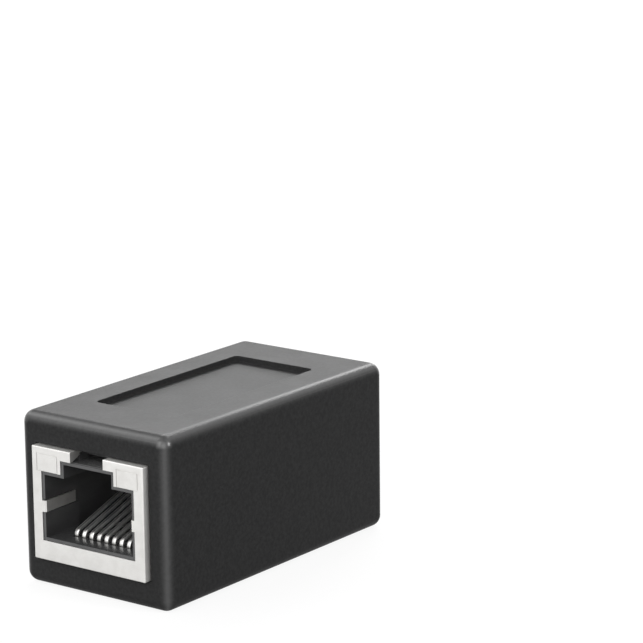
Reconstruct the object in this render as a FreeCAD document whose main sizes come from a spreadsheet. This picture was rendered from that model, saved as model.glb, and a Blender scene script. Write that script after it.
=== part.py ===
# RJ45 inline coupler: a moulded housing closed by a rear cap, with two shielded jacks back to back
# on one small circuit board across its middle.
#
# Frame of the part: millimetres, +Z up, origin under the middle of the housing on the face it rests
# on. The front port faces -Y, the rear port faces +Y.
# Frame of a jack: y = 0 is the outer face of its shield and +y runs into the jack, z = 0 is the
# underside of its shield, x = 0 is its middle. Each jack's pieces get their place as a whole.
import FreeCAD, Part
import math
import os
from types import SimpleNamespace

import Sketcher

SIZES = {
    # Housing and rear cap.
    "side_room": 0.9,
    "floor_room": 1.8,
    "roof_room": 1.15,
    "wall": 1.45,
    "front_wall": 1.6,
    "edge_radius": 1.3,
    "recess_width": 10.7,
    "recess_length": 23.8,
    "recess_depth": 0.65,
    "recess_corner": 0.6,
    "window_gap": 0.1,
    "rail_thickness": 1.0,
    "rail_offset": 4.5,
    "side_rail_offset": 4.0,
    "rail_gap": 0.1,
    "cap_thickness": 2.0,
    "cap_gap": 0.05,
    "arm_width": 3.0,
    "arm_gap": 0.1,
    "snap_thickness": 0.6,
    "snap_width": 5.0,
    "snap_length": 7.0,
    "barb_rise": 0.4,
    "barb_length": 1.2,
    "snap_gap": 0.08,
    # Circuit board.
    "board_thickness": 1.6,
    "board_edge_gap": 0.2,
    "board_seat_gap": 0.05,
    "hole_gap": 0.14,
    # Shield: one folded sheet round each jack.
    "shield_stand_out": 0.8,
    "sheet": 0.3,
    "fold_radius": 0.12,
    "mouth_width": 12.5,
    "mouth_height": 7.5,
    "side_border": 1.25,
    "bottom_border": 2.1,
    "top_border": 1.1,
    "latch_width": 7.2,
    "latch_height": 1.5,
    "notch_width": 4.44,
    "notch_length": 2.9,
    "flange_length": 1.2,
    "flange_rise": 0.55,
    "tab_bottom": 5.2,
    "tab_height": 1.22,
    "tab_reach": 0.5,
    "tab_length": 4.9,
    "tab_spring": 0.2,
    "leg_width": 1.5,
    "low_leg": 3.0,
    "high_leg": 8.5,
    "tail_length": 0.8,
    "standoff": 1.3,
    "window_inset": 0.65,
    "window_line": 0.12,
    "window_line_depth": 0.05,
    # Insert: the moulded body of each jack.
    "insert_gap": 0.05,
    "rim_inset": 0.37,
    "rim_setback": 0.1,
    "insert_floor": 0.65,
    "lip_depth": 1.95,
    "catch_length": 3.2,
    "catch_rise": 0.67,
    "plug_depth": 13.0,
    "block_length": 4.55,
    "side_step": 0.45,
    "side_step_start": 5.4,
    "side_step_length": 7.0,
    "foot": 1.2,
    # Contacts and the carrier that holds them.
    "contact_pitch": 1.016,
    "row_pitch": 2.54,
    "strip_width": 0.54,
    "strip_thickness": 0.34,
    "strip_gap": 0.02,
    "contact_front": 2.1,
    "bend_radius": 0.6,
    "contact_slope": 19.0,
    "contact_tip": 1.2,
    "riser_radius": 0.6,
    "riser_setback": 1.35,
    "floor_drop": 0.3,
    "bay_room": 0.2,
    "carrier_gap": 0.05,
    "comb_depth": 1.6,
    "comb_gap": 0.1,
    "comb_head": 0.6,
}
CONTACTS = 8
AXIS_PLANES = {"x": ("YZ_Plane", 1), "y": ("XZ_Plane", -1), "z": ("XY_Plane", 1)}


class Size:
    """A length or an angle in degrees that carries its value and the sheet formula that gives it."""

    def __init__(self, value, formula):
        self.value = value
        self.formula = formula

    def joined(self, sign, other, value):
        text = other.formula if isinstance(other, Size) else repr(other)
        return Size(value, f"({self.formula} {sign} {text})")

    def __add__(self, other):
        return self.joined("+", other, self.value + plain(other))

    def __sub__(self, other):
        return self.joined("-", other, self.value - plain(other))

    def __mul__(self, other):
        return self.joined("*", other, self.value * plain(other))

    def __truediv__(self, other):
        return self.joined("/", other, self.value / plain(other))

    def __neg__(self):
        return Size(-self.value, f"(-{self.formula})")


def plain(size):
    """Value of a Size, or the number itself."""
    return size.value if isinstance(size, Size) else size


def sine(angle):
    return Size(math.sin(math.radians(angle.value)), f"sin({angle.formula})")


def cosine(angle):
    return Size(math.cos(math.radians(angle.value)), f"cos({angle.formula})")


def make_sheet(doc):
    """Spreadsheet of the driving sizes, and each of them as a Size."""
    sheet = doc.addObject("Spreadsheet::Sheet", "sizes")
    named = SimpleNamespace()
    for row, (alias, value) in enumerate(SIZES.items(), start=1):
        sheet.set(f"A{row}", alias)
        sheet.set(f"B{row}", str(value))
        sheet.setAlias(f"B{row}", alias)
        setattr(named, alias, Size(value, f"sizes.{alias}"))
    doc.recompute()
    return named


def rectangle(x0, x1, y0, y1):
    return [(x0, y0), (x1, y0), (x1, y1), (x0, y1)]


def centred(half_width, y0, y1):
    return rectangle(-half_width, half_width, y0, y1)


def make_sketch(body, name, axis, place):
    """Empty sketch square to an axis of the body, at a place along it."""
    role, sense = AXIS_PLANES[axis]
    sketch = body.newObject("Sketcher::SketchObject", name)
    plane = next(item for item in body.Origin.OriginFeatures if item.Role == role)
    sketch.AttachmentSupport = [(plane, "")]
    sketch.MapMode = "FlatFace"
    offset = place if sense > 0 else -place
    sketch.setExpression("AttachmentOffset.Base.z", offset.formula)
    return sketch


def dimension(sketch, kind, size, *where):
    """Driving constraint whose value comes from the sheet."""
    index = sketch.addConstraint(Sketcher.Constraint(kind, *where, size.value))
    sketch.setExpression(f"Constraints[{index}]", size.formula)


def pin_point(sketch, line, end, x, y):
    """Ties an end of a line or the centre of an arc to its place from the sketch's origin."""
    if x is not None:
        dimension(sketch, "DistanceX", x, -1, 1, line, end)
    if y is not None:
        dimension(sketch, "DistanceY", y, -1, 1, line, end)


def draw_polygon(sketch, points):
    """Closed outline. Edges that keep one coordinate are held level or upright by constraint."""
    corners = [FreeCAD.Vector(x.value, y.value, 0) for x, y in points]
    count = len(points)
    lines = [
        sketch.addGeometry(Part.LineSegment(corners[i], corners[(i + 1) % count]), False)
        for i in range(count)
    ]
    for i in range(count):
        sketch.addConstraint(Sketcher.Constraint("Coincident", lines[i], 2, lines[(i + 1) % count], 1))
    upright = [points[i][0].formula == points[(i + 1) % count][0].formula for i in range(count)]
    level = [points[i][1].formula == points[(i + 1) % count][1].formula for i in range(count)]
    for i in range(count):
        if upright[i]:
            sketch.addConstraint(Sketcher.Constraint("Vertical", lines[i]))
        if level[i]:
            sketch.addConstraint(Sketcher.Constraint("Horizontal", lines[i]))
        last = i == count - 1
        x_known = (i > 0 and upright[i - 1]) or (last and upright[i])
        y_known = (i > 0 and level[i - 1]) or (last and level[i])
        x, y = points[i]
        pin_point(sketch, lines[i], 1, None if x_known else x, None if y_known else y)


def draw_circle(sketch, x, y, radius):
    centre = FreeCAD.Vector(x.value, y.value, 0)
    circle = sketch.addGeometry(Part.Circle(centre, FreeCAD.Vector(0, 0, 1), radius.value), False)
    pin_point(sketch, circle, 3, x, y)
    dimension(sketch, "Radius", radius, circle)


def extrude(body, kind, name, axis, start, end, polygons=(), circles=()):
    """Pad or Pocket of closed outlines along an axis of the body, from start to end."""
    sketch = make_sketch(body, name + "_sketch", axis, start)
    for points in polygons:
        draw_polygon(sketch, points)
    for circle in circles:
        draw_circle(sketch, *circle)
    feature = body.newObject("PartDesign::" + kind, name)
    feature.Profile = sketch
    feature.setExpression("Length", (end - start).formula)
    # A pad leaves its plane along the normal and a pocket against it.
    against = AXIS_PLANES[axis][1] < 0
    feature.Reversed = against == (kind == "Pad")
    sketch.Visibility = False
    return feature


def pad(body, name, axis, start, end, *polygons):
    return extrude(body, "Pad", name, axis, start, end, polygons)


def pocket(body, name, axis, start, end, *polygons):
    return extrude(body, "Pocket", name, axis, start, end, polygons)


def round_edges(body, name, radius, wanted):
    """Fillet of the edges of the body so far whose middle point passes the test."""
    body.Document.recompute()
    base = body.Tip
    names = []
    for number, edge in enumerate(base.Shape.Edges, start=1):
        middle = edge.valueAt((edge.FirstParameter + edge.LastParameter) / 2)
        if wanted(edge, middle):
            names.append(f"Edge{number}")
    fillet = body.newObject("PartDesign::Fillet", name)
    fillet.Base = (base, names)
    fillet.setExpression("Radius", radius.formula)
    return fillet


def make_body(doc, name):
    body = doc.addObject("PartDesign::Body", name)
    body.Label = name
    return body


# Places that several pieces share, each worked out once from the sizes.


def shared_places(s):
    """Places in the frame of the part and of a jack that pieces have in common."""
    p = SimpleNamespace()
    p.none = s.wall - s.wall
    # In the frame of a jack, from the plug opening outwards.
    p.mouth_top = s.bottom_border + s.mouth_height
    p.latch_top = p.mouth_top + s.latch_height
    p.shield_height = p.latch_top + s.top_border
    p.jack_half = s.mouth_width / 2 + s.side_border
    p.jack_rear = s.plug_depth + s.block_length
    p.jack_depth = p.jack_rear + s.standoff
    p.tail_end = p.jack_depth + s.board_thickness + s.tail_length
    p.tip_reach = s.plug_depth + s.contact_tip
    p.riser_place = p.jack_rear - s.riser_setback
    p.skin = s.sheet + s.insert_gap
    p.cavity_side = s.mouth_width / 2 - s.rim_inset
    p.cavity_bottom = s.bottom_border + s.rim_inset
    p.cavity_top = p.mouth_top - s.rim_inset
    p.slot_side = s.latch_width / 2 - s.rim_inset
    p.slot_top = p.latch_top - s.rim_inset
    p.bay_floor = p.skin + s.insert_floor
    p.sled_top = p.cavity_bottom - s.floor_drop
    p.lane_side = s.strip_width / 2 + s.strip_gap
    p.lane_half = s.strip_thickness / 2 + s.strip_gap
    p.bay_side = s.contact_pitch * (CONTACTS - 1) / 2 + s.strip_width / 2 + s.bay_room
    p.low_row = p.sled_top - p.lane_half
    p.high_row = p.low_row + s.row_pitch
    p.bend_middle = s.contact_front + s.strip_thickness / 2 + s.bend_radius
    p.tab_top = s.tab_bottom + s.tab_height
    # In the frame of the part: the housing wraps the two jacks and the board.
    p.board_face = s.board_thickness / 2
    p.jack_face = p.board_face + p.jack_depth
    p.half_length = p.jack_face - s.shield_stand_out
    p.jack_bottom = s.wall + s.floor_room
    p.jack_top = p.jack_bottom + p.shield_height
    p.jack_middle = p.jack_bottom + p.shield_height / 2
    p.cavity_half = p.jack_half + s.side_room
    p.cavity_floor = s.wall
    p.cavity_roof = p.jack_top + s.roof_room
    p.half_width = p.cavity_half + s.wall
    p.housing_height = p.cavity_roof + s.wall + s.recess_depth
    return p


def contact_place(s, number):
    """Sideways place of a contact, counted from 1 across the jack."""
    return s.contact_pitch * (number - (CONTACTS + 1) / 2)


def tail_row(p, number):
    """Height of a contact's tail: odd ones leave low, even ones one row up."""
    return p.low_row if number % 2 else p.high_row


def mouth_outline(s, p, inset):
    """Plug opening with the step for the latch above it, drawn in by an inset all round."""
    side = s.mouth_width / 2 - inset
    step = s.latch_width / 2 - inset
    bottom = s.bottom_border + inset
    shoulder = p.mouth_top - inset
    top = p.latch_top - inset
    return [
        (-side, bottom), (side, bottom), (side, shoulder), (step, shoulder),
        (step, top), (-step, top), (-step, shoulder), (-side, shoulder),
    ]


def make_housing(doc, s, p):
    """Moulded box, open at the rear, closed at the front round the port, with rails for the board."""
    body = make_body(doc, "housing")
    pad(body, "block", "z", p.none, p.housing_height,
        centred(p.half_width, -p.half_length, p.half_length))
    round_edges(body, "outer_edges", s.edge_radius, lambda edge, middle: True)
    pocket(body, "top_recess", "z", p.housing_height - s.recess_depth, p.housing_height,
           centred(s.recess_width / 2, -s.recess_length / 2, s.recess_length / 2))
    recess_middle = p.housing_height.value - s.recess_depth.value / 2
    round_edges(body, "recess_corners", s.recess_corner,
                lambda edge, middle: abs(middle.z - recess_middle) < s.recess_depth.value / 4
                and abs(middle.x) < p.cavity_half.value and abs(middle.y) < s.recess_length.value)
    inner_front = -p.half_length + s.front_wall
    board_stop = -p.board_face - s.board_seat_gap
    pocket(body, "cavity", "y", inner_front, p.half_length,
           centred(p.cavity_half, p.cavity_floor, p.cavity_roof))
    low, high = p.jack_bottom - s.rail_gap, p.jack_top + s.rail_gap
    side = p.jack_half + s.rail_gap
    half = s.rail_thickness / 2
    root = s.wall / 2
    middle = p.jack_middle
    rails = []
    for sign in (-1, 1):
        near, far = s.rail_offset * sign - half, s.rail_offset * sign + half
        rails.append(rectangle(near, far, p.cavity_floor - root, low))
        rails.append(rectangle(near, far, high, p.cavity_roof + root))
        below, above = middle + s.side_rail_offset * sign - half, middle + s.side_rail_offset * sign + half
        rails.append(rectangle(side, p.cavity_half + root, below, above))
        rails.append(rectangle(-p.cavity_half - root, -side, below, above))
    pad(body, "rails", "y", inner_front - s.front_wall / 2, board_stop, *rails)
    pocket(body, "front_window", "y", -p.half_length, inner_front,
           centred(p.jack_half + s.window_gap, p.jack_bottom - s.window_gap, p.jack_top + s.window_gap))
    # Pockets inside the side walls for the barbs of the rear cap.
    barb_end = p.half_length - s.cap_thickness - s.snap_length - s.snap_gap
    barb_start = barb_end + s.barb_length + s.snap_gap * 2
    depth = p.cavity_half + s.barb_rise + s.snap_gap
    catches = [
        rectangle(p.cavity_half - s.wall / 2, depth, barb_end, barb_start),
        rectangle(-depth, -p.cavity_half + s.wall / 2, barb_end, barb_start),
    ]
    half = s.snap_width / 2 + s.snap_gap
    pocket(body, "snap_pockets", "z", middle - half, middle + half, *catches)
    return body


def make_rear_cap(doc, s, p):
    """Frame round the rear port, with arms that hold the board and two snap hooks."""
    body = make_body(doc, "rear_cap")
    edge = p.cavity_half - s.cap_gap
    floor, roof = p.cavity_floor + s.cap_gap, p.cavity_roof - s.cap_gap
    inner = p.half_length - s.cap_thickness
    pad(body, "plate", "y", inner, p.half_length, centred(edge, floor, roof))
    low, high = p.jack_bottom - s.arm_gap, p.jack_top + s.arm_gap
    arms = []
    for sign in (-1, 1):
        near, far = s.rail_offset * sign - s.arm_width / 2, s.rail_offset * sign + s.arm_width / 2
        arms.append(rectangle(near, far, floor, low))
        arms.append(rectangle(near, far, high, roof))
    pad(body, "arms", "y", p.board_face + s.board_seat_gap, inner + s.cap_thickness / 2, *arms)
    tip = inner - s.snap_length
    barb = tip + s.barb_length
    inside, outside = edge - s.snap_thickness, edge
    crest = edge + s.barb_rise
    hooks = []
    for sign in (1, -1):
        def across(x):
            return x if sign > 0 else -x
        hooks.append([
            (across(inside), inner + s.cap_thickness / 2), (across(inside), tip), (across(outside), tip),
            (across(crest), barb), (across(outside), barb), (across(outside), inner + s.cap_thickness / 2),
        ])
    middle = p.jack_middle
    pad(body, "hooks", "z", middle - s.snap_width / 2, middle + s.snap_width / 2, *hooks)
    pocket(body, "rear_window", "y", inner, p.half_length,
           centred(p.jack_half + s.window_gap, p.jack_bottom - s.window_gap, p.jack_top + s.window_gap))
    return body


def make_circuit_board(doc, s, p):
    """Board across the housing, drilled for both jacks' tails and slotted for the shields' legs."""
    body = make_body(doc, "circuit_board")
    edge = p.cavity_half - s.board_edge_gap
    floor, roof = p.cavity_floor + s.board_edge_gap, p.cavity_roof - s.board_edge_gap
    holes = [
        (contact_place(s, number), p.jack_bottom + row, s.strip_width / 2 + s.hole_gap)
        for number in range(1, CONTACTS + 1)
        for row in (p.low_row, p.high_row)
    ]
    extrude(body, "Pad", "board", "y", -p.board_face, p.board_face,
            [centred(edge, floor, roof)], holes)
    slots = []
    for height in (s.low_leg, s.high_leg):
        below = p.jack_bottom + height - s.leg_width / 2 - s.hole_gap
        above = p.jack_bottom + height + s.leg_width / 2 + s.hole_gap
        inside, outside = p.jack_half - s.sheet - s.hole_gap, p.jack_half + s.hole_gap
        slots += [rectangle(inside, outside, below, above), rectangle(-outside, -inside, below, above)]
    pocket(body, "leg_slots", "y", -p.board_face, p.board_face, *slots)
    return body


def make_shield(doc, s, p, name):
    """Folded sheet can of a jack: face with the plug opening, four walls, tabs and board legs."""
    body = make_body(doc, name)
    width = p.jack_half
    pad(body, "can", "y", p.none, p.jack_rear, centred(width, p.none, p.shield_height))
    open_end = p.jack_rear.value - s.sheet.value
    round_edges(body, "folds", s.fold_radius, lambda edge, middle: middle.y < open_end)
    pocket(body, "inside", "y", s.sheet, p.jack_rear,
           centred(width - s.sheet, s.sheet, p.shield_height - s.sheet))
    pocket(body, "mouth", "y", p.none, s.sheet, mouth_outline(s, p, p.none))
    pocket(body, "notch", "y", p.none, s.notch_length,
           centred(s.notch_width / 2, p.latch_top, p.shield_height))
    # Flanges folded back from the sides of the notch, cut on a slant below.
    flange_end, flange_top = s.sheet + s.flange_length, p.shield_height - s.sheet / 2
    flange = [
        (s.sheet / 2, p.latch_top), (s.sheet, p.latch_top), (flange_end, p.latch_top + s.flange_rise),
        (flange_end, flange_top), (s.sheet / 2, flange_top),
    ]
    notch_side = s.notch_width / 2
    pad(body, "right_flange", "x", notch_side, notch_side + s.sheet, flange)
    pad(body, "left_flange", "x", -notch_side - s.sheet, -notch_side, flange)
    # Grounding tabs: from the side edges of the mouth, folded back along the side walls.
    root, crest = s.mouth_width / 2, s.mouth_width / 2 - s.tab_reach
    tabs = []
    for sign in (1, -1):
        def across(x):
            return x if sign > 0 else -x
        tabs.append([
            (across(root + s.sheet), p.none), (across(crest + s.sheet / 2), p.none),
            (across(crest), s.sheet / 2), (across(crest), s.sheet),
            (across(crest + s.tab_spring), s.tab_length),
            (across(crest + s.tab_spring + s.sheet), s.tab_length),
            (across(crest + s.sheet), s.sheet), (across(root + s.sheet), s.sheet),
        ])
    pad(body, "grounding_tabs", "z", s.tab_bottom, p.tab_top, *tabs)
    legs = []
    for side, height in ((width - s.sheet, s.low_leg), (-width, s.high_leg)):
        legs.append(rectangle(side, side + s.sheet, height - s.leg_width / 2, height + s.leg_width / 2))
    pad(body, "board_legs", "y", p.jack_rear - s.sheet, p.tail_end, *legs)
    # Outline of the two blanked lamp windows above the mouth.
    far, near = width - s.window_inset, s.latch_width / 2 + s.rim_inset
    bottom, top = p.mouth_top, p.shield_height - s.window_inset
    line = s.window_line
    lines = []
    for sign in (1, -1):
        def across(x):
            return x if sign > 0 else -x
        lines.append([
            (across(near), bottom), (across(far), bottom), (across(far), top), (across(near), top),
        ])
        lines.append([
            (across(near + line), bottom + line), (across(far - line), bottom + line),
            (across(far - line), top - line), (across(near + line), top - line),
        ])
    pocket(body, "window_lines", "y", p.none, s.window_line_depth, *lines)
    return body


def make_insert(doc, s, p, name):
    """Moulded jack body: plug cavity, latch slot and catch, rim in the shield's mouth, board feet."""
    body = make_body(doc, name)
    side = p.jack_half - p.skin
    top = p.shield_height - p.skin
    pad(body, "block", "y", p.skin, p.jack_rear, centred(side, p.skin, top))
    pad(body, "rim", "y", s.rim_setback, p.skin * 2, mouth_outline(s, p, s.insert_gap))
    pocket(body, "plug_cavity", "y", s.rim_setback, p.jack_rear,
           centred(p.cavity_side, p.cavity_bottom, p.cavity_top))
    pocket(body, "latch_slot", "y", s.rim_setback, s.plug_depth,
           centred(p.slot_side, p.cavity_bottom, p.slot_top))
    pocket(body, "contact_bay", "y", s.lip_depth, p.jack_rear,
           centred(p.bay_side, p.bay_floor, p.cavity_top))
    pocket(body, "latch_catch", "y", s.notch_length, s.notch_length + s.catch_length,
           centred(p.slot_side, p.cavity_bottom, p.slot_top + s.catch_rise))
    pocket(body, "flange_slots", "y", p.skin, p.skin + s.flange_length,
           centred(s.notch_width / 2 + p.skin, p.latch_top, top))
    pocket(body, "lever_slot", "y", p.skin, s.notch_length,
           centred(s.notch_width / 2, p.latch_top, top))
    pocket(body, "side_steps", "y", s.side_step_start, s.side_step_start + s.side_step_length,
           centred(p.cavity_side + s.side_step, p.cavity_bottom, p.cavity_top))
    pocket(body, "tab_grooves", "y", s.rim_setback, s.side_step_start,
           centred(s.mouth_width / 2 - s.tab_reach + s.tab_spring + s.sheet + s.comb_gap,
                   s.tab_bottom - s.comb_gap, p.tab_top + s.comb_gap))
    feet = []
    for below in (p.skin, top - s.foot):
        feet.append(rectangle(side - s.foot, side, below, below + s.foot))
        feet.append(rectangle(-side, -side + s.foot, below, below + s.foot))
    pad(body, "feet", "y", p.jack_rear - s.foot, p.jack_depth, *feet)
    return body


def make_contact_carrier(doc, s, p, name):
    """Moulded sled under the contacts, with a block behind the plug that combs their free ends."""
    body = make_body(doc, name)
    side, top = p.cavity_side - s.carrier_gap, p.cavity_top - s.carrier_gap
    keel, floor = p.bay_side - s.carrier_gap, p.bay_floor + s.carrier_gap
    shelf = p.cavity_bottom + s.carrier_gap
    pad(body, "sled", "y", p.bend_middle, p.jack_rear, centred(keel, floor, p.sled_top))
    pad(body, "block", "y", s.plug_depth, p.jack_rear, [
        (-keel, floor), (keel, floor), (keel, shelf), (side, shelf),
        (side, top), (-side, top), (-side, shelf), (-keel, shelf),
    ])
    tip_height = (p.low_row + s.bend_radius + s.bend_radius * cosine(s.contact_slope)
                  + (p.tip_reach - p.bend_middle + s.bend_radius * sine(s.contact_slope))
                  * (sine(s.contact_slope) / cosine(s.contact_slope)))
    lanes, combs, risers = [], [], []
    for number in range(1, CONTACTS + 1):
        x = contact_place(s, number)
        left, right = x - p.lane_side, x + p.lane_side
        bottom = p.low_row - p.lane_half
        lanes.append(rectangle(left, right, bottom, p.low_row + p.lane_half))
        combs.append(rectangle(left - s.comb_gap, right + s.comb_gap, p.sled_top, tip_height + s.comb_head))
        if number % 2 == 0:
            risers.append(rectangle(left, right, bottom, p.high_row + p.lane_half))
    pocket(body, "lanes", "y", p.bend_middle, p.jack_rear, *lanes)
    pocket(body, "comb", "y", s.plug_depth, s.plug_depth + s.comb_depth, *combs)
    pocket(body, "riser_slots", "y", p.riser_place - s.riser_radius, p.jack_rear, *risers)
    return body


def make_contact(doc, s, p, name, number):
    """Bent spring strip: tail through the board, forward under the floor, front bend, up to the comb."""
    body = make_body(doc, name)
    path = make_sketch(body, "path", "x", contact_place(s, number))
    slope = math.radians(s.contact_slope.value)
    radius = s.bend_radius.value
    bend = FreeCAD.Vector(p.bend_middle.value, p.low_row.value + radius, 0)
    upper = bend + FreeCAD.Vector(-math.sin(slope), math.cos(slope), 0) * radius
    reach = p.tip_reach.value - upper.x
    tip = FreeCAD.Vector(p.tip_reach.value, upper.y + reach * math.tan(slope), 0)
    lower = FreeCAD.Vector(bend.x, p.low_row.value, 0)
    tail = FreeCAD.Vector(p.tail_end.value, tail_row(p, number).value, 0)
    normal = FreeCAD.Vector(0, 0, 1)

    def line(start, end):
        return path.addGeometry(Part.LineSegment(start, end), False)

    def arc(centre, size, first, last):
        return path.addGeometry(Part.ArcOfCircle(Part.Circle(centre, normal, size), first, last), False)

    def tangent(first, first_end, second, second_end):
        path.addConstraint(Sketcher.Constraint("Tangent", first, first_end, second, second_end))

    if number % 2:
        run = line(tail, lower)
        pin_point(path, run, 1, p.tail_end, p.low_row)
    else:
        small = s.riser_radius.value
        place = p.riser_place.value
        tail_line = line(tail, FreeCAD.Vector(place + small, tail.y, 0))
        top_arc = arc(FreeCAD.Vector(place + small, tail.y - small, 0), small, math.pi / 2, math.pi)
        riser = line(FreeCAD.Vector(place, tail.y - small, 0), FreeCAD.Vector(place, lower.y + small, 0))
        low_arc = arc(FreeCAD.Vector(place - small, lower.y + small, 0), small, -math.pi / 2, 0)
        run = line(FreeCAD.Vector(place - small, lower.y, 0), lower)
        path.addConstraint(Sketcher.Constraint("Horizontal", tail_line))
        path.addConstraint(Sketcher.Constraint("Vertical", riser))
        tangent(tail_line, 2, top_arc, 1)
        tangent(top_arc, 2, riser, 1)
        tangent(riser, 2, low_arc, 2)
        tangent(low_arc, 1, run, 1)
        pin_point(path, tail_line, 1, p.tail_end, p.high_row)
        pin_point(path, riser, 1, p.riser_place, None)
        pin_point(path, run, 2, None, p.low_row)
        dimension(path, "Radius", s.riser_radius, top_arc)
        dimension(path, "Radius", s.riser_radius, low_arc)
    front_arc = arc(bend, radius, math.pi / 2 + slope, math.pi * 3 / 2)
    spring = line(upper, tip)
    path.addConstraint(Sketcher.Constraint("Horizontal", run))
    tangent(run, 2, front_arc, 2)
    tangent(front_arc, 1, spring, 1)
    pin_point(path, front_arc, 3, p.bend_middle, None)
    dimension(path, "Radius", s.bend_radius, front_arc)
    dimension(path, "Angle", s.contact_slope, spring)
    pin_point(path, spring, 2, p.tip_reach, None)
    section = make_sketch(body, "section", "y", p.tail_end)
    x, z = contact_place(s, number), tail_row(p, number)
    half_width, half_thickness = s.strip_width / 2, s.strip_thickness / 2
    draw_polygon(section, rectangle(x - half_width, x + half_width, z - half_thickness, z + half_thickness))
    pipe = body.newObject("PartDesign::AdditivePipe", "strip")
    pipe.Profile = section
    pipe.Spine = path
    path.Visibility = section.Visibility = False
    return body


def make_jack(doc, s, p, end, turn):
    """All pieces of one jack, set against the board: the front one as drawn, the rear one turned round."""
    pieces = [
        make_shield(doc, s, p, f"{end}_shield"),
        make_insert(doc, s, p, f"{end}_insert"),
        make_contact_carrier(doc, s, p, f"{end}_contact_carrier"),
    ]
    for number in range(1, CONTACTS + 1):
        pieces.append(make_contact(doc, s, p, f"{end}_contact_{number}", number))
    place = p.jack_face if turn else -p.jack_face
    for piece in pieces:
        rotation = FreeCAD.Rotation(FreeCAD.Vector(0, 0, 1), turn)
        piece.Placement = FreeCAD.Placement(FreeCAD.Vector(0, place.value, p.jack_bottom.value), rotation)
        piece.setExpression("Placement.Base.y", place.formula)
        piece.setExpression("Placement.Base.z", p.jack_bottom.formula)
    return pieces


def check_document(doc, pieces):
    """Stops on any object that failed, and on a piece that is not one valid solid."""
    for item in doc.Objects:
        if {"Invalid", "Error"} & set(item.State):
            raise RuntimeError(f"{item.Label}: {item.State}")
    for piece in pieces:
        shape = piece.Shape
        if shape.isNull() or not shape.isValid() or len(shape.Solids) != 1:
            raise RuntimeError(f"{piece.Label}: not one valid solid")


doc = FreeCAD.newDocument("coupler")
sizes = make_sheet(doc)
places = shared_places(sizes)
pieces = [
    make_housing(doc, sizes, places),
    make_rear_cap(doc, sizes, places),
    make_circuit_board(doc, sizes, places),
]
pieces += make_jack(doc, sizes, places, "front", 0)
pieces += make_jack(doc, sizes, places, "rear", 180)
doc.recompute()
check_document(doc, pieces)
os.makedirs("parts", exist_ok=True)
for piece in pieces:
    piece.Shape.exportStep(os.path.join("parts", piece.Label + ".step"))
    print(piece.Label, round(piece.Shape.Volume, 3))
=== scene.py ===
import math

import bmesh
import bpy
import numpy as np
from mathutils import Matrix, Vector


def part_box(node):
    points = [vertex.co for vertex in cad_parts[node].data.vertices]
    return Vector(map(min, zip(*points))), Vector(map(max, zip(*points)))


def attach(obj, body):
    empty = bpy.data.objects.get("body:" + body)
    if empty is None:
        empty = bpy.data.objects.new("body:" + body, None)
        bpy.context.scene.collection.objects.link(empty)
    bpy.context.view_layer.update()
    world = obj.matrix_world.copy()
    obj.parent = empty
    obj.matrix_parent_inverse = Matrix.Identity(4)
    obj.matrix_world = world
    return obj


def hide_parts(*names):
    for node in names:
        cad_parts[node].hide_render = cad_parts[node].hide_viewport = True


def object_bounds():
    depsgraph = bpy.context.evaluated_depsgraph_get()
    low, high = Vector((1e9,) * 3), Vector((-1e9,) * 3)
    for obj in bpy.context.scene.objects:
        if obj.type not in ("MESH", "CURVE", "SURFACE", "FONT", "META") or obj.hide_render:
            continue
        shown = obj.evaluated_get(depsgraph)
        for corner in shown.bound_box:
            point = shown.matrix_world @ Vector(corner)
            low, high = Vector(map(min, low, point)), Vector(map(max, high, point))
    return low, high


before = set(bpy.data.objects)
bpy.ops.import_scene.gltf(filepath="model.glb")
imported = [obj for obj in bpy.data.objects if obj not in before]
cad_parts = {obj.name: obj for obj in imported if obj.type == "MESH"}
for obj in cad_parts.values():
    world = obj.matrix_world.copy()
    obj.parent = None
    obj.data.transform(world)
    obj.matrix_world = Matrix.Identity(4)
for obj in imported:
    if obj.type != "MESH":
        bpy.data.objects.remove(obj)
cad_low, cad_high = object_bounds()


# Housing: one injection-moulded box of black ABS with a very fine spark-eroded texture. It is
# closed at the front round the port and open at the rear, with a shallow label recess on top.

MM = 0.001
EDGE_RADIUS = 1.3 * MM
EDGE_POLISH = 0.95
EDGE_RISE = 1.2
CORNER_POLISH = 0.65
CORNER_RISE = 3.0
HOUSING_EASE = 0.09 * MM
SMOOTH_BELOW = math.radians(35)
JOINED_WITHIN = 1e-7
FLAT_WITHIN = math.radians(0.5)
NOISE_LOW, NOISE_HIGH = 0.3, 0.7
ABS_BLACKS = (0.0255, 0.0255, 0.0258), (0.0345, 0.0345, 0.0348)


def skin_copy(node, name):
    """Mesh of a solid as one joined skin, with its loose triangles merged and its flat facets made
    whole faces."""
    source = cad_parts[node].data
    points = np.empty(len(source.vertices) * 3, np.float32)
    source.vertices.foreach_get("co", points)
    corners = np.empty(len(source.loops), np.int32)
    source.loops.foreach_get("vertex_index", corners)
    mesh = bpy.data.meshes.new(name)
    mesh.from_pydata(points.reshape(-1, 3).tolist(), [], corners.reshape(-1, 3).tolist())
    skin = bmesh.new()
    skin.from_mesh(mesh)
    bmesh.ops.remove_doubles(skin, verts=skin.verts, dist=JOINED_WITHIN)
    bmesh.ops.dissolve_limit(skin, angle_limit=FLAT_WITHIN, verts=skin.verts, edges=skin.edges)
    skin.to_mesh(mesh)
    skin.free()
    return mesh


def shade(mesh):
    """Smooth shading, with a crease wherever two faces meet at more than the smooth angle."""
    mesh.shade_smooth()
    mesh.set_sharp_from_angle(angle=SMOOTH_BELOW)


def place_piece(name, mesh, material, slot, *nodes):
    """Object for a finished mesh, riding on the part in place of its solids."""
    piece = bpy.data.objects.new(name, mesh)
    bpy.context.scene.collection.objects.link(piece)
    mesh.materials.clear()
    mesh.materials.append(material)
    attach(piece, "root")
    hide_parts(*nodes)
    return piece


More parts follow.
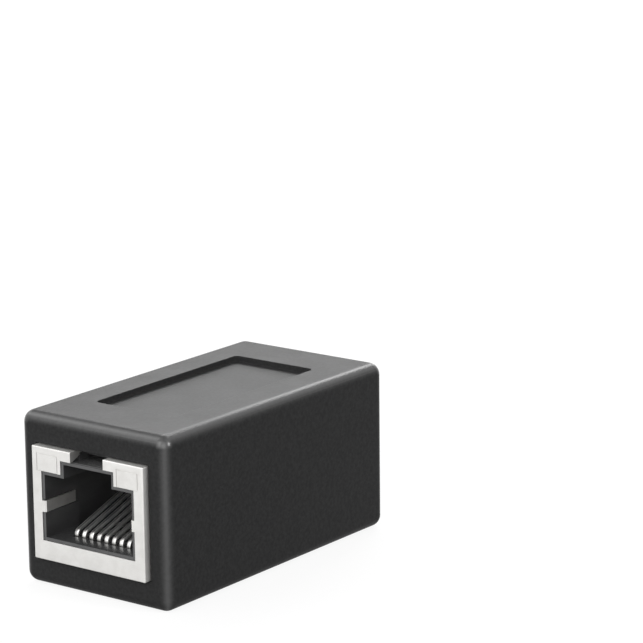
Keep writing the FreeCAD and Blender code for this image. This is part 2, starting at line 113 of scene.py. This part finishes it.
def ease_edges(piece, width, segments=3):
    """Small rounding of every sharp edge, as a mould or a press tool leaves it."""
    bevel = piece.modifiers.new("eased_edges", "BEVEL")
    bevel.width = width
    bevel.segments = segments
    bevel.limit_method = "ANGLE"
    bevel.angle_limit = SMOOTH_BELOW
    bevel.harden_normals = True


class Finish:
    """Material with a Principled shader, and short ways to add the nodes of its detail."""

    def __init__(self, name, **sockets):
        self.material = bpy.data.materials.new(name)
        self.material.use_nodes = True
        self.tree = self.material.node_tree
        self.shader = self.tree.nodes["Principled BSDF"]
        for socket, value in sockets.items():
            self.shader.inputs[socket.replace("_", " ")].default_value = value
        self.place = self.tree.nodes.new("ShaderNodeTexCoord").outputs["Object"]

    def link(self, output, node, socket):
        self.tree.links.new(output, node.inputs[socket])

    def noise(self, per_metre, stretch=(1, 1, 1), detail=2.0, roughness=0.5):
        """Noise in the part's own frame: so many lumps to a metre, drawn out along an axis."""
        mapping = self.tree.nodes.new("ShaderNodeMapping")
        mapping.inputs["Scale"].default_value = stretch
        self.link(self.place, mapping, "Vector")
        noise = self.tree.nodes.new("ShaderNodeTexNoise")
        noise.inputs["Scale"].default_value = per_metre
        noise.inputs["Detail"].default_value = detail
        noise.inputs["Roughness"].default_value = roughness
        self.link(mapping.outputs["Vector"], noise, "Vector")
        return noise.outputs["Fac"]

    def colours(self, pattern, dark, light, low=0.35, high=0.65):
        """Base colour that runs from dark to light with a pattern."""
        ramp = self.tree.nodes.new("ShaderNodeValToRGB")
        ramp.color_ramp.elements[0].position = low
        ramp.color_ramp.elements[0].color = (*dark, 1)
        ramp.color_ramp.elements[1].position = high
        ramp.color_ramp.elements[1].color = (*light, 1)
        self.link(pattern, ramp, "Fac")
        self.link(ramp.outputs["Color"], self.shader, "Base Color")

    def roughness(self, pattern, smooth, rough):
        """Roughness that runs from smooth to rough with a pattern."""
        span = self.tree.nodes.new("ShaderNodeMapRange")
        span.inputs["From Min"].default_value = NOISE_LOW
        span.inputs["From Max"].default_value = NOISE_HIGH
        span.inputs["To Min"].default_value = smooth
        span.inputs["To Max"].default_value = rough
        self.link(pattern, span, "Value")
        self.link(span.outputs["Result"], self.shader, "Roughness")

    def relief(self, *layers):
        """Bump from layers of (pattern, height in metres), one on the other."""
        normal = None
        for pattern, height in layers:
            bump = self.tree.nodes.new("ShaderNodeBump")
            bump.inputs["Strength"].default_value = 1.0
            bump.inputs["Distance"].default_value = height
            self.link(pattern, bump, "Height")
            if normal is not None:
                self.link(normal, bump, "Normal")
            normal = bump.outputs["Normal"]
        self.link(normal, self.shader, "Normal")


def mark_polish(mesh, low, high, radius):
    """Attribute that is 0 on flat faces and underneath, and highest half way round the upright and
    top edges and on the upper corners. For each axis it takes how far a point lies into the
    rounding, in radii. The middling of the three squares less the least, doubled to reach 1, gives
    the edges, and the least gives the corners."""
    points = np.empty(len(mesh.vertices) * 3, np.float32)
    mesh.vertices.foreach_get("co", points)
    points = points.reshape(-1, 3)
    middle = (np.array(high) + np.array(low)) / 2
    half = (np.array(high) - np.array(low)) / 2
    offset = (np.abs(points - middle) - half + radius) / radius
    offset[points[:, 2] < middle[2], 2] = 0
    offset = np.clip(offset, 0, 1)
    least, middling, _ = np.sort(offset**2, axis=1).T
    edge = 2 * (middling - least)
    corner = np.clip(CORNER_RISE * np.sqrt(least), 0, 1)
    polish = np.clip(EDGE_POLISH * edge**EDGE_RISE + CORNER_POLISH * corner, 0, 1)
    attribute = mesh.attributes.new("polish", "FLOAT", "POINT")
    attribute.data.foreach_set("value", polish.astype(np.float32))


def moulded_black():
    """Black ABS off a spark-eroded tool: fine even grain, faint cloudiness, and glossier on its
    rounded edges and corners."""
    finish = Finish("black_abs", IOR=1.5, Specular_IOR_Level=0.028, Coat_IOR=1.7,
                    Coat_Roughness=0.3)
    polish = finish.tree.nodes.new("ShaderNodeAttribute")
    polish.attribute_name = "polish"
    finish.tree.links.new(polish.outputs["Fac"], finish.shader.inputs["Coat Weight"])
    cloud = finish.noise(260, detail=3)
    grain = finish.noise(7000, detail=2, roughness=0.6)
    fleck = finish.noise(2600, detail=3, roughness=0.65)
    finish.colours(fleck, *ABS_BLACKS)
    finish.roughness(cloud, 0.38, 0.42)
    finish.relief((grain, 2.5e-6), (fleck, 2.5e-6))
    return finish.material


black_abs = moulded_black()
mesh = skin_copy("housing", "housing_moulding")
mark_polish(mesh, *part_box("housing"), EDGE_RADIUS)
shade(mesh)
housing = place_piece("housing_moulding", mesh, black_abs, "housing_plastic", "housing")
ease_edges(housing, HOUSING_EASE)


# Rear cap: a frame of the same black ABS, moulded apart and pushed into the open end of the
# housing. Its arms press on the board, and two hooks snap into pockets in the side walls.

CAP_EASE = 0.1 * MM

mesh = skin_copy("rear_cap", "rear_cap_moulding")
shade(mesh)
rear_cap = place_piece("rear_cap_moulding", mesh, black_abs, "housing_plastic", "rear_cap")
ease_edges(rear_cap, CAP_EASE)


# Circuit board: glass laminate across the middle of the housing, green with solder resist, drilled
# for the tails of both jacks and slotted for the legs of their shields.

RESIST_GREENS = (0.012, 0.075, 0.032), (0.02, 0.12, 0.05)


def solder_resist():
    """Green lacquer over a glass weave: glossy, with the threads of the weave faintly showing."""
    finish = Finish("board_green", IOR=1.5, Coat_Weight=0.3, Coat_Roughness=0.15)
    warp = finish.noise(2500, stretch=(1, 1, 0.12))
    weft = finish.noise(2500, stretch=(0.12, 1, 1))
    finish.colours(warp, *RESIST_GREENS)
    finish.roughness(weft, 0.28, 0.4)
    finish.relief((warp, 3e-6), (weft, 3e-6))
    return finish.material


mesh = skin_copy("circuit_board", "circuit_board_laminate")
shade(mesh)
place_piece("circuit_board_laminate", mesh, solder_resist(), "board_laminate", "circuit_board")


# Shields: each jack's can is stamped from one sheet, folded round the insert and satin nickel
# plated. Its grounding tabs are folded back from the mouth, and its legs go through the board.

THINNEST_EASED = 0.15 * MM
SHEET_EASE = 0.035 * MM
NICKEL_TONES = (0.55, 0.543, 0.528), (0.59, 0.584, 0.57)


def mark_cut_edges(mesh):
    """Marks to ease the sheet's sharp edges, but not the fine lines pressed into its face."""
    skin = bmesh.new()
    skin.from_mesh(mesh)
    weights = skin.edges.layers.float.new("bevel_weight_edge")
    for edge in skin.edges:
        broad = all(
            face.calc_area() > THINNEST_EASED * max(side.calc_length() for side in face.edges)
            for face in edge.link_faces
        )
        edge[weights] = float(broad and edge.calc_face_angle(0) > SMOOTH_BELOW)
    skin.to_mesh(mesh)
    skin.free()


def satin_nickel():
    """Nickel plate over rolled sheet: a warm white metal with a fine grain left by the rolls."""
    finish = Finish("satin_nickel", Metallic=1.0)
    rolled = finish.noise(5200, stretch=(0.5, 1, 1), detail=3, roughness=0.6)
    patch = finish.noise(900, detail=3)
    finish.colours(patch, *NICKEL_TONES)
    finish.roughness(rolled, 0.50, 0.58)
    finish.relief((rolled, 1e-6))
    return finish.material


nickel = satin_nickel()
for end in ("front", "rear"):
    mesh = skin_copy(f"{end}_shield", f"{end}_shield_can")
    mark_cut_edges(mesh)
    shade(mesh)
    shield = place_piece(f"{end}_shield_can", mesh, nickel, "shield_plating", f"{end}_shield")
    ease_edges(shield, SHEET_EASE, 2)
    shield.modifiers["eased_edges"].limit_method = "WEIGHT"


# Inserts and contact carriers: black polyester, moulded in polished tools. The insert holds the
# plug and shows as a thin rim in the shield's mouth. The carrier slides in below it, and its comb
# keeps the contacts apart.

INSERT_EASE = 0.05 * MM
POLYESTER_BLACKS = (0.058, 0.058, 0.059), (0.078, 0.078, 0.079)


def polished_black():
    """Black polyester off a polished tool: smooth and glossy, with faint flow marks."""
    finish = Finish("black_polyester", IOR=1.57)
    flow = finish.noise(420, stretch=(1, 0.3, 1), detail=3)
    finish.colours(flow, *POLYESTER_BLACKS)
    finish.roughness(flow, 0.16, 0.26)
    finish.relief((flow, 4e-6))
    return finish.material


polyester = polished_black()
for end in ("front", "rear"):
    for node, slot in (("insert", "insert_plastic"), ("contact_carrier", "carrier_plastic")):
        mesh = skin_copy(f"{end}_{node}", f"{end}_{node}_moulding")
        shade(mesh)
        moulding = place_piece(f"{end}_{node}_moulding", mesh, polyester, slot, f"{end}_{node}")
        if node == "insert":
            ease_edges(moulding, INSERT_EASE, 2)


# Contacts: eight phosphor bronze strips a jack, bright plated, with their long edges rounded. Each
# comes through the board, runs under the floor, bends round at the front and rises to the comb
# behind the plug.

STRIP_WIDTH = 0.54 * MM
STRIP_THICKNESS = 0.34 * MM
STRIP_CORNER = 0.13 * MM
BEND_RADIUS = 0.6 * MM
RISER_RADIUS = 0.6 * MM
ROW_PITCH = 2.54 * MM
SPRING_SLOPE = math.radians(19)
CONTACT_FRONT = 2.1 * MM
LOW_ROW = 1.98 * MM
RISER_PLACE = 16.2 * MM
TIP_DEPTH = 14.2 * MM
CONTACTS = 8
# Plating tones: the light end is painted highlight along the long edges, and the dark end is
# painted shade in the bends and across the broad faces.
PLATING_SHADE_TO_STREAK = (0.34, 0.335, 0.325), (0.95, 0.94, 0.92)
PAINTED_STREAK_STRENGTH = 0.4


def arc(centre, radius, first, last, turn, steps=20):
    """Rows of (depth, height, heading) round an arc from one angle to another: centre plus radius
    times the cosine and sine of each angle, heading a quarter turn on."""
    angle = np.linspace(first, last, steps)
    depth = centre[0] + radius * np.cos(angle)
    height = centre[1] + radius * np.sin(angle)
    return np.column_stack([depth, height, angle + turn * math.pi / 2])


def contact_path(tail_end, even):
    """Middle line of a contact in a jack's depth and height: straight runs joined by the arcs of
    its bends. The even ones start a row higher and step down to the floor of the jack."""
    bend = (CONTACT_FRONT + STRIP_THICKNESS / 2 + BEND_RADIUS, LOW_ROW + BEND_RADIUS)
    start_height = LOW_ROW + ROW_PITCH * even
    rows = [np.array([[tail_end, start_height, math.pi]])]
    if even:
        upper = (RISER_PLACE + RISER_RADIUS, start_height - RISER_RADIUS)
        lower = (RISER_PLACE - RISER_RADIUS, LOW_ROW + RISER_RADIUS)
        rows.append(arc(upper, RISER_RADIUS, math.pi / 2, math.pi, 1))
        rows.append(arc(lower, RISER_RADIUS, 0, -math.pi / 2, -1) + np.array([0, 0, 2 * math.pi]))
    rows.append(arc(bend, BEND_RADIUS, -math.pi / 2, -math.pi * 3 / 2 + SPRING_SLOPE, -1)
                + np.array([0, 0, 2 * math.pi]))
    reach = TIP_DEPTH - rows[-1][-1, 0]
    top = rows[-1][-1, 1] + reach * math.tan(SPRING_SLOPE)
    rows.append(np.array([[TIP_DEPTH, top, SPRING_SLOPE]]))
    return np.vstack(rows)


def strip_section(steps=5):
    """Rounded rectangle across a strip, a quarter circle at each corner: offsets across and
    through it, and the painted streak, a painted highlight that is 1 on its corners and 0 half way
    along each broad face."""
    quarter = np.linspace(0, math.pi / 2, steps)
    across, through, painted_streak = [], [], []
    for turn, (side, face) in enumerate(((1, 1), (-1, 1), (-1, -1), (1, -1))):
        angle = quarter + turn * math.pi / 2
        across.extend(side * (STRIP_WIDTH / 2 - STRIP_CORNER) + STRIP_CORNER * np.cos(angle))
        through.extend(face * (STRIP_THICKNESS / 2 - STRIP_CORNER) + STRIP_CORNER * np.sin(angle))
        painted_streak.extend([1.0] * steps)
        if side == face:
            across.append(0.0)
            through.append(face * STRIP_THICKNESS / 2)
            painted_streak.append(0.0)
    return np.array(across), np.array(through), np.array(painted_streak)


def strip_mesh(name, across, path, facing, face_y, base_z):
    """The section carried along the path, as a closed tube of quads with a flat face at each end.
    The painted streak is that of the section times the squared cosine of the heading, so it fades
    in the bends, which are painted darker."""
    side, through, painted_streak = strip_section()
    depth = path[:, :1] - np.sin(path[:, 2:]) * through
    height = path[:, 1:2] + np.cos(path[:, 2:]) * through
    x = facing * (across + np.broadcast_to(side, depth.shape))
    points = np.stack([x, face_y + facing * depth, base_z + height], axis=-1).reshape(-1, 3)
    rings, count = depth.shape
    ring, spoke = np.meshgrid(np.arange(rings - 1), np.arange(count), indexing="ij")
    here, beside = ring * count + spoke, ring * count + (spoke + 1) % count
    quads = np.stack([here, beside, beside + count, here + count], axis=-1).reshape(-1, 4)
    last = (rings - 1) * count
    ends = [list(range(count))[::-1], list(range(last, last + count))]
    mesh = bpy.data.meshes.new(name)
    mesh.from_pydata(points.tolist(), [], quads.tolist() + ends)
    skin = bmesh.new()
    skin.from_mesh(mesh)
    bmesh.ops.recalc_face_normals(skin, faces=skin.faces)
    skin.to_mesh(mesh)
    skin.free()
    # Painted light kept on the points: painted highlights along the long edges, fading to painted
    # shade in the bends.
    attribute = mesh.attributes.new("painted_streak", "FLOAT", "POINT")
    straight = np.cos(path[:, 2]) ** 2
    attribute.data.foreach_set("value", np.outer(straight, painted_streak).ravel().astype(np.float32))
    return mesh


def bright_plating():
    """Bright plate over drawn strip: fine lines along it, painted highlights along the long edges
    and painted shade in the bends.
    """
    finish = Finish("bright_plating", Metallic=0.94)
    drawn = finish.noise(9000, stretch=(1, 0.04, 0.04))
    # The painted streak lightens the base colour: painted highlights on the long edges, painted
    # shade in the bends.
    painted_streak = finish.tree.nodes.new("ShaderNodeAttribute")
    painted_streak.attribute_name = "painted_streak"
    both = finish.tree.nodes.new("ShaderNodeMath")
    both.operation = "MULTIPLY_ADD"
    both.inputs[1].default_value = PAINTED_STREAK_STRENGTH
    finish.link(painted_streak.outputs["Fac"], both, 0)
    finish.link(drawn, both, 2)
    finish.colours(both.outputs["Value"], *PLATING_SHADE_TO_STREAK, low=0.45, high=1.0)
    finish.roughness(drawn, 0.32, 0.38)
    finish.relief((drawn, 1e-7))
    return finish.material


plating = bright_plating()
for end, facing in (("front", 1), ("rear", -1)):
    face_y = (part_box("front_shield")[0].y if facing > 0 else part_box("rear_shield")[1].y)
    base_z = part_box(f"{end}_shield")[0].z
    for number in range(1, CONTACTS + 1):
        node = f"{end}_contact_{number}"
        low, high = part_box(node)
        across = facing * (low.x + high.x) / 2
        tail_end = max(abs(low.y - face_y), abs(high.y - face_y))
        path = contact_path(tail_end, number % 2 == 0)
        mesh = strip_mesh(f"{node}_strip", across, path, facing, face_y, base_z)
        shade(mesh)
        place_piece(f"{node}_strip", mesh, plating, "contact_plating", node)


# Studio: a plain pale floor, soft lamps and a long lens. None of it is part of the coupler.

FLOOR_HALF = 3.0
FLOOR_GREY = 0.14
FLOOR_GLOW = 0.88
WORLD_LIGHT = 0.12
WORLD_WHITE = 1.0
LAMP_DISTANCE = 0.8
CAMERA_PLACE = (0.19805, -0.24282, 0.10120)
CAMERA_TURNS = (36.937, 76.417, -0.611)
LENS = 169.575
SENSOR = 36.0
NEAREST_SEEN = 0.01


def seen_directly(tree):
    """Output that is 1 for what the camera sees, also in a mirror or through glass, and 0 for the
    light that falls on things."""
    path = tree.nodes.new("ShaderNodeLightPath")
    seen = tree.nodes.new("ShaderNodeMath")
    seen.operation = "MAXIMUM"
    tree.links.new(path.outputs["Is Camera Ray"], seen.inputs[0])
    tree.links.new(path.outputs["Is Glossy Ray"], seen.inputs[1])
    also = tree.nodes.new("ShaderNodeMath")
    also.operation = "MAXIMUM"
    tree.links.new(seen.outputs[0], also.inputs[0])
    tree.links.new(path.outputs["Is Transmission Ray"], also.inputs[1])
    return also.outputs[0]


def studio_floor():
    """Pale floor: most of its brightness is a glow that lights nothing, and the rest is the light
    that falls on it, so that it shows the shadow."""
    material = bpy.data.materials.new("studio_floor")
    material.use_nodes = True
    tree = material.node_tree
    tree.nodes.clear()
    output = tree.nodes.new("ShaderNodeOutputMaterial")
    diffuse = tree.nodes.new("ShaderNodeBsdfDiffuse")
    diffuse.inputs["Color"].default_value = (FLOOR_GREY, FLOOR_GREY, FLOOR_GREY, 1)
    glow = tree.nodes.new("ShaderNodeEmission")
    glow.inputs["Color"].default_value = (FLOOR_GLOW, FLOOR_GLOW, FLOOR_GLOW, 1)
    tree.links.new(seen_directly(tree), glow.inputs["Strength"])
    both = tree.nodes.new("ShaderNodeAddShader")
    tree.links.new(diffuse.outputs[0], both.inputs[0])
    tree.links.new(glow.outputs[0], both.inputs[1])
    tree.links.new(both.outputs[0], output.inputs["Surface"])
    return material


mesh = bpy.data.meshes.new("floor")
corners = [(-FLOOR_HALF, -FLOOR_HALF, 0), (FLOOR_HALF, -FLOOR_HALF, 0),
           (FLOOR_HALF, FLOOR_HALF, 0), (-FLOOR_HALF, FLOOR_HALF, 0)]
mesh.from_pydata(corners, [], [(0, 1, 2, 3)])
mesh.materials.append(studio_floor())
floor = bpy.data.objects.new("floor", mesh)
bpy.context.scene.collection.objects.link(floor)

world = bpy.data.worlds.new("studio")
bpy.context.scene.world = world
world.use_nodes = True
tree = world.node_tree
background = tree.nodes["Background"]
ambient = tree.nodes.new("ShaderNodeMapRange")
ambient.inputs["To Min"].default_value = WORLD_LIGHT
ambient.inputs["To Max"].default_value = WORLD_WHITE
tree.links.new(seen_directly(tree), ambient.inputs["Value"])
tree.links.new(ambient.outputs["Result"], background.inputs["Strength"])
background.inputs["Color"].default_value = (1, 1, 1, 1)


def soft_lamp(name, direction, width, height, brightness, roll=0.0):
    """Softbox that looks at the middle of the coupler from a direction. Its energy is brightness
    times pi times its area, so that a brightness of 1 shows as white."""
    lamp = bpy.data.lights.new(name, "AREA")
    lamp.shape = "RECTANGLE"
    lamp.size, lamp.size_y = width, height
    lamp.energy = brightness * math.pi * width * height
    holder = bpy.data.objects.new(name, lamp)
    holder.visible_camera = False
    bpy.context.scene.collection.objects.link(holder)
    middle = (cad_low + cad_high) / 2
    aim = Vector(direction).normalized()
    turn = aim.to_track_quat("Z", "Y").to_matrix().to_4x4()
    turn = turn @ Matrix.Rotation(math.radians(roll), 4, "Z")
    holder.matrix_world = Matrix.Translation(middle + aim * LAMP_DISTANCE) @ turn


# For each lamp: the direction it stands in, its width and height in metres, and its brightness.
soft_lamp("back_strip", (-0.40, 0.745, 0.54), 0.5, 0.26, 11.5)
soft_lamp("left_strip", (-0.68, -0.1, 0.745), 0.5, 0.4, 2.0, roll=32)
soft_lamp("back_glow", (-0.607, 0.745, 0.38), 0.7, 0.4, 1.2)
soft_lamp("right_fill", (0.42, -0.80, 0.43), 1.0, 1.0, 1.55)
soft_lamp("left_fill", (-0.35, -0.9, 0.3), 0.9, 0.9, 2.05)
soft_lamp("side_lamp", (0.88, 0.14, 0.43), 0.24, 0.24, 16.0)

lens = bpy.data.cameras.new("camera")
lens.lens = LENS
lens.sensor_width = SENSOR
lens.clip_start = NEAREST_SEEN
camera = bpy.data.objects.new("camera", lens)
bpy.context.scene.collection.objects.link(camera)
pan, tilt, roll = (math.radians(angle) for angle in CAMERA_TURNS)
camera.matrix_world = (Matrix.Translation(CAMERA_PLACE) @ Matrix.Rotation(pan, 4, "Z")
                       @ Matrix.Rotation(tilt, 4, "X") @ Matrix.Rotation(roll, 4, "Z"))
bpy.context.scene.camera = camera
bpy.context.scene.view_settings.view_transform = "Standard"
